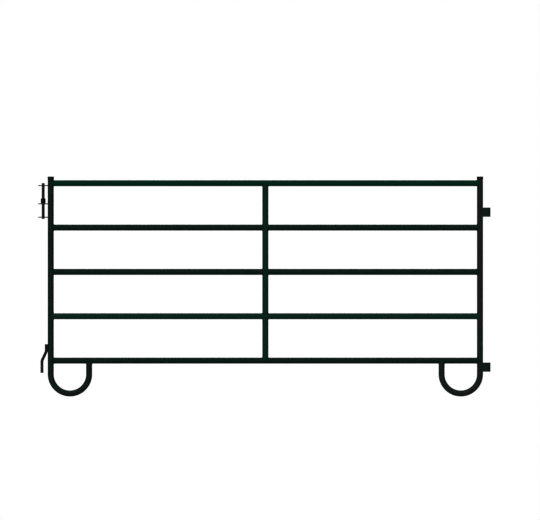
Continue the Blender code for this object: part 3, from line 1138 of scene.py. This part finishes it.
@dataclass
class GuideTab:
    """A flat tab, coped to the left post and drilled for the drop pin."""

    place: TabPlace
    layout: Layout
    hole_radius: float = 0.01075
    corner: float = 0.008
    edge: float = 0.0007  # rounding of the cut edges
    steps: int = 4
    cope_steps: int = 24
    corner_steps: int = 10
    side_points: int = 7  # on each straight side
    horn: float = 0.012  # length of the thin horns beside the post, where the rounding fades
    least: float = 0.05  # share of the rounding left at a horn's tip
    hold: float = 1.4  # edges in from a face to the row that keeps its shading flat
    weld_reach: float = 1.05  # how far the weld goes round the post to each side, in radians
    weld_points: int = 60

    def build(self) -> None:
        """Make the tab and its two fillet welds."""
        word = self.place.value
        node = f"{word}_guide_tab"
        low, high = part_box(node)
        outline, away = self._outline(low, high)
        shell = self._plate(outline, away, low.z, high.z)
        Piece(f"{word}_tab", [shell], BRACKET_GREEN, Slot.BRACKET_PAINT, node=node).build()
        name = f"{word}_tab_weld"
        beads = [self._fillet(high.z, UP, name), self._fillet(low.z, -UP, name)]
        Piece(name, beads, BRACKET_GREEN, Slot.BRACKET_PAINT).build()

    def _outline(self, low: Vector, high: Vector) -> tuple[Array, Array]:
        """Draw the tab from above, and pair each of its points with one on the hole's rim.

        The post's side is an arc of the cope's radius about the post's axis. The rim's angle
        goes round evenly with the length of the outline, from 0 at the middle of that arc.

        Args:
            low: The node's lowest corner.
            high: The node's highest corner.

        Returns:
            The outline, and the directions from the hole's middle to the rim, by X and Y.
        """
        reach = math.asin(high.y / self.layout.cope)
        swing = np.linspace(-reach, reach, self.cope_steps + 1)
        cope_x = -self.layout.post_x - self.layout.cope * np.cos(swing)
        cope = np.stack([cope_x, self.layout.cope * np.sin(swing)], -1)
        tip = np.array(
            [(cope[-1, 0], high.y), (low.x, high.y), (low.x, low.y), (cope[0, 0], low.y)]
        )
        ends = rounded(tip, np.full(4, self.corner), self.corner_steps, closed=False)
        share = np.linspace(0.0, 1.0, self.side_points + 2)[1:-1, None]
        upper = ends[0] + share * (ends[1] - ends[0])
        lower = ends[-2] + share * (ends[-1] - ends[-2])
        outline = np.vstack([cope, upper, ends[1:-1], lower])
        gone = np.cumsum(np.linalg.norm(outline - np.roll(outline, 1, 0), axis=1))
        angle = FULL_TURN * (gone - gone[self.cope_steps // 2]) / gone[-1]
        return outline, np.stack([np.cos(angle), np.sin(angle)], -1)

    def _plate(self, outline: Array, away: Array, bottom: float, top: float) -> Shell:
        """Carry a loop from the hole's wall over the top, the outline and the underside.

        Each edge is a quarter turn: at angle t it stands edge times (1 - cos t) in from the
        wall and edge times (1 - sin t) in from the face. A row just past each end of the turn
        keeps the flats' shading flat. The outline's rounding fades along the horns.

        Args:
            outline: Points of the outline by X and Y.
            away: Directions from the hole's middle to its rim.
            bottom: Height of the underside.
            top: Height of the upper face.

        Returns:
            The plate, a ring about its hole.
        """
        pin_low, pin_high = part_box("drop_pin")
        middle = np.array([(pin_low.x + pin_high.x) / 2, 0.0])
        hole = middle + self.hole_radius * away
        tips = outline[[0, self.cope_steps]]
        from_tip = np.linalg.norm(outline[:, None] - tips[None], axis=-1).min(1)
        fade = np.clip(from_tip / self.horn, self.least, 1.0)[:, None]
        inward = self._inward(outline) * fade
        turn = np.linspace(0.0, HALF_TURN / 2, self.steps + 1)
        hold = self.hold * self.edge
        pull = np.concatenate([[0.0], self.edge * (1.0 - np.cos(turn)), [hold]])
        drop = np.concatenate([[hold], self.edge * (1.0 - np.sin(turn)), [0.0]])
        rub = np.concatenate([[0.0], np.sin(2.0 * turn), [0.0]])
        edges = [
            (hole, away, pull, top - drop),
            (outline, inward, pull[::-1], top - drop[::-1]),
            (outline, inward, pull, bottom + drop),
            (hole, away, pull[::-1], bottom + drop[::-1]),
        ]
        rows = []
        for line, move, shift, height in edges:
            flat = line[None] + move[None] * shift[:, None, None]
            level = np.broadcast_to(height[:, None, None], (len(height), len(line), 1))
            rows.append(np.concatenate([flat, level], -1))
        return Shell(np.vstack(rows), ring=True, wear=np.tile(rub, len(edges))[:, None])

    def _inward(self, outline: Array) -> Array:
        """Find the way into the plate at each outline point, halfway between its two sides.

        Args:
            outline: Points of the outline by X and Y.

        Returns:
            Directions at length 1.
        """
        step = unit(np.roll(outline, -1, 0) - outline)
        ahead = unit(step + np.roll(step, 1, 0))
        side = np.stack([-ahead[:, 1], ahead[:, 0]], -1)
        toward = outline.mean(0) - outline
        return side * np.sign((side * toward).sum(-1).mean())

    def _fillet(self, height: float, face: Array, name: str) -> Shell:
        """Lay the bead between one face of the tab and the post.

        Args:
            height: Height of the face.
            face: The face's outward normal.
            name: Seeds the bead.

        Returns:
            The bead.
        """
        swing = np.linspace(-self.weld_reach, self.weld_reach, self.weld_points)[:, None]
        outward = -np.cos(swing) * ALONG + np.sin(swing) * DEPTH
        axis = -self.layout.post_x * ALONG + height * UP
        path = axis + self.layout.tube_radius * outward
        normals = (np.broadcast_to(face, path.shape), outward)
        return TAB_BEAD.lay(path, normals, closed=False, name=name)


@dataclass
class StrapSocket:
    """A strap folded into a U and welded to the right post, which takes a pin or a hook."""

    place: SocketPlace
    layout: Layout
    strap: float = 0.00635
    edge: float = 0.0009
    hold: float = 0.4  # edge radii from an arc to the point that keeps a flat's shading flat
    rub: float = 0.7
    steps: int = 4
    bend_rows: int = 40
    leg_rows: int = 6
    weld_points: int = 60

    def build(self) -> None:
        """Make the strap and its two upright welds."""
        word = self.place.value
        node = f"{word}_socket"
        low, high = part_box(node)
        shell = self._fold(low, high)
        Piece(f"{word}_strap", [shell], BRACKET_GREEN, Slot.BRACKET_PAINT, node=node).build()
        name = f"{word}_strap_weld"
        beads = [self._seam(sign, low, high, name) for sign in (-1.0, 1.0)]
        Piece(name, beads, BRACKET_GREEN, Slot.BRACKET_PAINT).build()

    def _fold(self, low: Vector, high: Vector) -> Shell:
        """Carry the strap's rounded section round the U.

        The centre line runs out along -Y's leg, through a half circle about the bend's middle
        and back along +Y's. A section point stands q outwards from it and z up. Each leg's
        end stands on the post, at sqrt(cope^2 - y^2) from the post's axis.

        Args:
            low: The node's lowest corner.
            high: The node's highest corner.

        Returns:
            The strap.
        """
        half = self.strap / 2
        centre_radius = high.y - half
        bend_x = high.x - high.y
        box = np.array([(half, low.z), (half, high.z), (-half, high.z), (-half, low.z)])
        section = rounded(box, np.full(4, self.edge), self.steps, closed=True, hold=self.hold)
        out, level = section[None, :, 0], section[None, :, 1]
        reach = centre_radius + out
        start = self.layout.post_x + np.sqrt(self.layout.cope**2 - reach**2)
        share = np.linspace(0.0, 1.0, self.leg_rows, endpoint=False)[:, None]
        leg_x = start + share * (bend_x - start)
        turn = np.linspace(-HALF_TURN / 2, HALF_TURN / 2, self.bend_rows)[:, None]
        x = np.vstack([leg_x, bend_x + reach * np.cos(turn), leg_x[::-1]])
        legs = np.broadcast_to(reach, leg_x.shape)
        y = np.vstack([-legs, reach * np.sin(turn), legs])
        rows = np.stack(np.broadcast_arrays(x, y, level), -1)
        near_edge = np.minimum(level - low.z, high.z - level) < self.edge * 0.8
        return Shell(rows, wear=self.rub * near_edge)

    def _seam(self, sign: float, low: Vector, high: Vector, name: str) -> Shell:
        """Lay the upright bead along one leg's outer face, where it meets the post.

        Args:
            sign: -1 for the front leg, 1 for the back.
            low: The node's lowest corner.
            high: The node's highest corner.
            name: Seeds the bead.

        Returns:
            The bead.
        """
        spare = STRAP_BEAD.half_width
        level = np.linspace(low.z + spare / 2, high.z - spare / 2, self.weld_points)[:, None]
        foot = math.sqrt(self.layout.tube_radius**2 - high.y**2)
        path = (self.layout.post_x + foot) * ALONG + sign * high.y * DEPTH + level * UP
        face = np.broadcast_to(sign * DEPTH, path.shape)
        post = np.broadcast_to(unit(foot * ALONG + sign * high.y * DEPTH), path.shape)
        return STRAP_BEAD.lay(path, (face, post), closed=False, name=f"{name}{sign}")


@dataclass
class HookRod:
    """A round bar, cranked away from the left post to drop into the next panel's socket."""

    layout: Layout
    bend_radius: float = 0.022
    shoulder: float = 0.0128  # lower bend above a seated socket
    slant: float = 0.0638  # height of the slanting run
    chamfer: float = 0.0012
    full_by: float = 0.02  # from each end to a further full ring
    sides: int = 40
    bend_steps: int = 12
    groove_depth: float = 0.0065  # how deep in the groove beside the post its weld sits
    seat_reach: float = 0.004  # how far past its socket the bar is rubbed
    seat_rub: float = 0.25
    end_rub: float = 0.8
    weld_short: float = 0.002  # from the weld's upper end to the bar's
    weld_points: int = 60

    def build(self) -> None:
        """Make the hook and the welds on both sides of its upper leg."""
        low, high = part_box("hook_rod")
        radius = high.y
        bar = self._bar(low, high, radius)
        Piece("hook_bar", [bar], FITTING_BLACK, Slot.BLACK_PAINT, node="hook_rod").build()
        beads = [self._groove(sign, high, radius) for sign in (-1.0, 1.0)]
        Piece("hook_weld", beads, FITTING_BLACK, Slot.BLACK_PAINT).build()

    def _bends(self) -> tuple[float, float]:
        """Return the heights of the lower and the upper bend."""
        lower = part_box("lower_socket")[1].z + self.shoulder
        return lower, lower + self.slant

    def _bar(self, low: Vector, high: Vector, radius: float) -> Shell:
        """Carry a ring along the hook's line, which has a rounded bend at each corner.

        The ring at each point of the line is square to it: its radius times (cos a sideways in
        the panel's plane, sin a in depth). The rings draw in over the chamfer at both ends.

        Args:
            low: The node's lowest corner.
            high: The node's highest corner.
            radius: Radius of the bar.

        Returns:
            The bar.
        """
        lower, upper = self._bends()
        drop_x, weld_x = low.x + radius, high.x - radius
        corners = np.array([(weld_x, high.z), (weld_x, upper), (drop_x, lower), (drop_x, low.z)])
        line = rounded(corners, np.full(4, self.bend_radius), self.bend_steps, closed=False)
        head = [(weld_x, high.z - down) for down in (0.0, self.chamfer, self.full_by)]
        foot = [(drop_x, low.z + rise) for rise in (self.full_by, self.chamfer, 0.0)]
        line = np.vstack([head, line[1:-1], foot])
        legs = unit(np.diff(line, axis=0))
        ahead = unit(np.vstack([legs[:1], legs[:-1] + legs[1:], legs[-1:]]))
        size = np.full(len(line), radius)
        size[[0, -1]] = radius - self.chamfer
        angle = around(self.sides)[None, :]
        side = size[:, None] * np.cos(angle)
        x = line[:, :1] - ahead[:, 1:] * side
        z = line[:, 1:] + ahead[:, :1] * side
        y = size[:, None] * np.sin(angle)
        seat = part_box("lower_socket")
        above = line[:, 1] > seat[0].z - self.seat_reach
        seated = above & (line[:, 1] < seat[1].z + self.seat_reach)
        rubbed = self.seat_rub * seated[:, None] + self.end_rub * (size < radius)[:, None]
        return Shell(np.stack([x, y, z], -1), wear=np.clip(rubbed, 0.0, 1.0))

    def _groove(self, sign: float, high: Vector, radius: float) -> Shell:
        """Lay the bead in the groove between the bar and the post, on one side.

        Args:
            sign: -1 for the front, 1 for the back.
            high: The node's highest corner.
            radius: Radius of the bar.

        Returns:
            The bead.
        """
        post_reach = math.sqrt(self.layout.tube_radius**2 - self.groove_depth**2)
        bar_reach = math.sqrt(radius**2 - self.groove_depth**2)
        bar_x = high.x - radius
        x = (bar_x + bar_reach - self.layout.post_x - post_reach) / 2
        ends = self._bends()[1] - self.weld_short, high.z - self.weld_short
        level = np.linspace(*ends, self.weld_points)[:, None]
        depth = sign * self.groove_depth * DEPTH
        path = x * ALONG + depth + level * UP
        bar = np.broadcast_to(unit(bar_reach * ALONG + depth), path.shape)
        post = np.broadcast_to(unit(-post_reach * ALONG + depth), path.shape)
        return HOOK_BEAD.lay(path, (bar, post), closed=False, name=f"hook_weld{sign}")


# --------------------------------------------------------------------------------------
# Sliding pin
# --------------------------------------------------------------------------------------


@dataclass
class DropPin:
    """The drop pin, with the collar that rests on the middle tab and the roll pin through both."""

    chamfer: float = 0.0015
    ease: float = 0.0005  # rounds the chamfer's edges
    pole: float = 0.0006  # radius of the last row round the axis
    sides: int = 48
    steps: int = 5
    shaft_rows: int = 120
    slide_rub: float = 0.25  # wear where the pin runs in a tab
    mark_rub: float = 0.6  # more of it, in a band under each tab
    mark_drop: float = 0.003  # the band's middle, below the tab
    mark_width: float = 0.007
    end_rub: float = 0.8
    end_width: float = 0.002
    collar_sides: int = 220
    collar_rows: int = 72
    collar_edge: float = 0.0006
    collar_flat: float = 0.0012  # width of the flat round the bore, on top
    collar_rub: float = 0.7
    foot_width: float = 0.0012  # height of the rubbed band at the collar's foot
    dome_steps: int = 13
    crown: float = 0.006  # height of the collar's domed shoulder
    collar_bore: float = 0.0103
    cross_hole: float = 0.0027  # radius of the collar's cross hole
    hole_depth: float = 0.0028
    hole_spread: float = 0.0002  # how far past its radius the mouth starts to fall
    hole_fall: float = 0.00012  # how steeply it falls
    roll_wall: float = 0.001
    roll_slot: float = 0.001
    roll_chamfer: float = 0.0004
    roll_ease: float = 0.00012
    roll_rows: int = 49

    def build(self) -> None:
        """Make the pin, the collar and the roll pin."""
        self._pin()
        self._collar()
        self._roll_pin()

    def _middle(self) -> tuple[float, float]:
        """Return X and Y of the pin's axis."""
        low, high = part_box("drop_pin")
        return (low.x + high.x) / 2, 0.0

    def _pin(self) -> None:
        """Turn the pin: a bar with eased ends, rubbed where it slides in the tabs."""
        low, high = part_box("drop_pin")
        radius = high.y
        corners = np.array(
            [
                (self.pole, low.z),
                (radius - self.chamfer, low.z),
                (radius, low.z + self.chamfer),
                (radius, high.z - self.chamfer),
                (radius - self.chamfer, high.z),
                (self.pole, high.z),
            ]
        )
        line = rounded(corners, np.full(6, self.ease), self.steps, closed=False)
        split = int(np.argmax(np.diff(line[:, 1])))
        share = np.linspace(0.0, 1.0, self.shaft_rows + 2)[1:-1, None]
        shaft = line[split] + share * (line[split + 1] - line[split])
        line = np.vstack([line[: split + 1], shaft, line[split + 1 :]])
        shell = turned(line, self._middle(), self.sides)
        level = line[:, 1:]
        lift = max(j["range_m"][1] for j in frame["joints"])
        seats = [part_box(f"{place.value}_guide_tab") for place in reversed(TabPlace)]
        travel = sum(
            ((level > seat[0].z - lift) & (level < seat[1].z)) * self.slide_rub
            + self.mark_rub
            * np.exp(-(((level - seat[0].z + self.mark_drop) / self.mark_width) ** 2))
            for seat in seats
        )
        from_end = np.minimum(level - low.z, high.z - level)
        ends = self.end_rub * np.exp(-((from_end / self.end_width) ** 2))
        shell.wear = np.clip(travel + ends, 0.0, 1.0)
        Piece(
            "sliding_pin_bar", [shell], FITTING_BLACK, Slot.BLACK_PAINT, Body.PIN, "drop_pin"
        ).build()

    def _collar(self) -> None:
        """Turn the collar, domed over its shoulder, with its cross hole's two mouths sunk in it.

        Each mouth is a blind dish in the turned skin, front and back. A point that stands d
        from the hole's axis moves in by depth / (1 + exp((d - radius - spread) / fall)).
        """
        low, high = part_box("pin_collar")
        radius = high.y
        x, _ = self._middle()
        wall = np.linspace(low.z + self.collar_edge, high.z - self.crown, self.collar_rows)
        turn = np.linspace(0.0, HALF_TURN / 2, self.dome_steps + 1)[1:]
        flat = self.collar_bore + self.collar_flat
        dome_r = flat + (radius - flat) * np.cos(turn)
        dome_z = high.z - self.crown + self.crown * np.sin(turn)
        side = np.stack([np.full_like(wall, radius), wall], -1)
        outer = np.vstack([side, np.stack([dome_r, dome_z], -1)])
        bore, edge = self.collar_bore, self.collar_edge
        inner = np.array([(bore, high.z - edge), (bore, low.z + edge)])
        foot = np.array([(bore + edge, low.z), (radius - edge, low.z)])
        profile = np.vstack([foot, outer, inner])
        shell = turned(profile, (x, 0.0), self.collar_sides, ring=True)
        hole_low, hole_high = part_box("collar_roll_pin")
        hole_z = (hole_low.z + hole_high.z) / 2
        points = shell.points
        off = points[..., :2] - np.array([x, 0.0])
        distance = np.hypot(points[..., 0] - x, points[..., 2] - hole_z)
        reach = np.linalg.norm(off, axis=-1)
        past = (distance - self.cross_hole - self.hole_spread) / self.hole_fall
        sunk = self.hole_depth / (1.0 + np.exp(past))
        sunk = np.where(reach > radius - 1e-4, sunk, 0.0)[..., None]
        points[..., :2] -= off / reach[..., None] * sunk
        above_foot = np.minimum(profile[:, 1:] - low.z, 1.0)
        shell.wear = self.collar_rub * np.exp(-((above_foot / self.foot_width) ** 2))
        Piece(
            "pin_collar_ring", [shell], COLLAR_BLACK, Slot.BLACK_PAINT, Body.PIN, "pin_collar"
        ).build()

    def _roll_pin(self) -> None:
        """Roll the slotted pin: a flat loop of its wall, swung about the cross hole's axis.

        The loop is the wall's section along Y, with eased ends. It swings from one edge of the
        slot round to the other, and a fan closes each edge.
        """
        low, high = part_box("collar_roll_pin")
        radius = (high.z - low.z) / 2
        x, z = self._middle()[0], (low.z + high.z) / 2
        inner, ease = radius - self.roll_wall, self.roll_chamfer
        corners = np.array(
            [
                (radius - ease, low.y),
                (radius, low.y + ease),
                (radius, high.y - ease),
                (radius - ease, high.y),
                (inner, high.y),
                (inner, low.y),
            ]
        )
        loop = rounded(corners, np.full(6, self.roll_ease), 3, closed=True)
        half_slot = self.roll_slot / 2 / radius
        swing = np.linspace(half_slot, FULL_TURN - half_slot, self.roll_rows)[:, None]
        out, along = loop[None, :, 0], loop[None, :, 1]
        points = np.stack(
            np.broadcast_arrays(x + out * np.cos(swing), along, z + out * np.sin(swing)), -1
        )
        roll = Shell(points)
        Piece(
            "collar_pin_roll", [roll], ROLLED_STEEL, Slot.SPRING_STEEL, Body.PIN, "collar_roll_pin"
        ).build()


# --------------------------------------------------------------------------------------
# Studio
# --------------------------------------------------------------------------------------


@dataclass(frozen=True)
class Lamp:
    """A wide lamp that washes the whole panel evenly."""

    name: str
    light: float  # watts on each square metre that faces it
    spread: float  # width of its face as seen from the panel, in degrees
    tilt: Colour  # turns about X, Y and Z, in degrees, from shining straight down

    def hang(self) -> None:
        """Hang the lamp."""
        source = bpy.data.lights.new(self.name, "SUN")
        source.energy = self.light
        source.angle = math.radians(self.spread)
        lamp = bpy.data.objects.new(self.name, source)
        lamp.rotation_euler = tuple(math.radians(angle) for angle in self.tilt)
        bpy.context.scene.collection.objects.link(lamp)


LAMPS = (
    Lamp("overhead", 2.4, 70.0, (8.0, -6.0, 0.0)),
    Lamp("front_wash", 2.3, 44.0, (72.0, 0.0, -10.0)),
    Lamp("back_wash", 1.8, 44.0, (70.0, 0.0, 165.0)),
)


@dataclass
class Studio:
    """Floor, air, soft lights and camera."""

    view_middle: tuple[float, float] = (0.032, 0.9455)  # X and Z in the middle of the picture
    view_width: float = 3.742
    camera_distance: float = 12.0
    floor_reach: float = 60.0
    air_glow: float = 0.16
    print_gamma: float = 0.65  # below 1 deepens the dark tones, as on a cut-out print

    def build(self) -> None:
        """Make the whole studio."""
        self._floor()
        self._air()
        for lamp in LAMPS:
            lamp.hang()
        self._camera()
        bpy.context.scene.view_settings.view_transform = "Standard"
        bpy.context.scene.view_settings.gamma = self.print_gamma

    def _floor(self) -> None:
        """Lay the floor, a wide flat sheet at the ground."""
        reach = self.floor_reach
        mesh = bpy.data.meshes.new("floor")
        signs = ((-1, -1), (1, -1), (1, 1), (-1, 1))
        corners = [(x * reach, y * reach, 0.0) for x, y in signs]
        mesh.from_pydata(corners, [], [(0, 1, 2, 3)])
        floor = bpy.data.objects.new("floor", mesh)
        bpy.context.scene.collection.objects.link(floor)
        mesh.materials.append(dressed(STUDIO_FLOOR))

    def _air(self) -> None:
        """Fill the room with dim light, behind a plain white backdrop."""
        world = bpy.data.worlds.new("studio_air")
        bpy.context.scene.world = world
        world.use_nodes = True
        tree = world.node_tree
        tree.nodes.clear()
        glow, backdrop = (tree.nodes.new("ShaderNodeBackground") for _ in range(2))
        glow.inputs["Color"].default_value = (1.0, 1.0, 1.0, 1.0)
        glow.inputs["Strength"].default_value = self.air_glow
        backdrop.inputs["Color"].default_value = (1.0, 1.0, 1.0, 1.0)
        backdrop.inputs["Strength"].default_value = 1.0
        seen = tree.nodes.new("ShaderNodeLightPath")
        pick = tree.nodes.new("ShaderNodeMixShader")
        output = tree.nodes.new("ShaderNodeOutputWorld")
        tree.links.new(seen.outputs["Is Camera Ray"], pick.inputs[0])
        tree.links.new(glow.outputs[0], pick.inputs[1])
        tree.links.new(backdrop.outputs[0], pick.inputs[2])
        tree.links.new(pick.outputs[0], output.inputs["Surface"])

    def _camera(self) -> None:
        """Stand the camera square to the panel's front, without perspective."""
        lens = bpy.data.cameras.new("camera")
        lens.type = "ORTHO"
        lens.ortho_scale = self.view_width
        lens.clip_start, lens.clip_end = 0.1, 200.0
        camera = bpy.data.objects.new("camera", lens)
        camera.location = (self.view_middle[0], -self.camera_distance, self.view_middle[1])
        camera.rotation_euler = (math.radians(90.0), 0.0, 0.0)
        bpy.context.scene.collection.objects.link(camera)
        bpy.context.scene.camera = camera


def main() -> None:
    """Build the studio and every sub-assembly."""
    logging.basicConfig(level=logging.INFO, format="%(name)s: %(message)s")
    layout = Layout.read()
    Studio().build()
    PanelFrame(layout).build()
    for place in TabPlace:
        GuideTab(place, layout).build()
    for place in SocketPlace:
        StrapSocket(place, layout).build()
    HookRod(layout).build()
    DropPin().build()


if __name__ == "__main__":
    main()
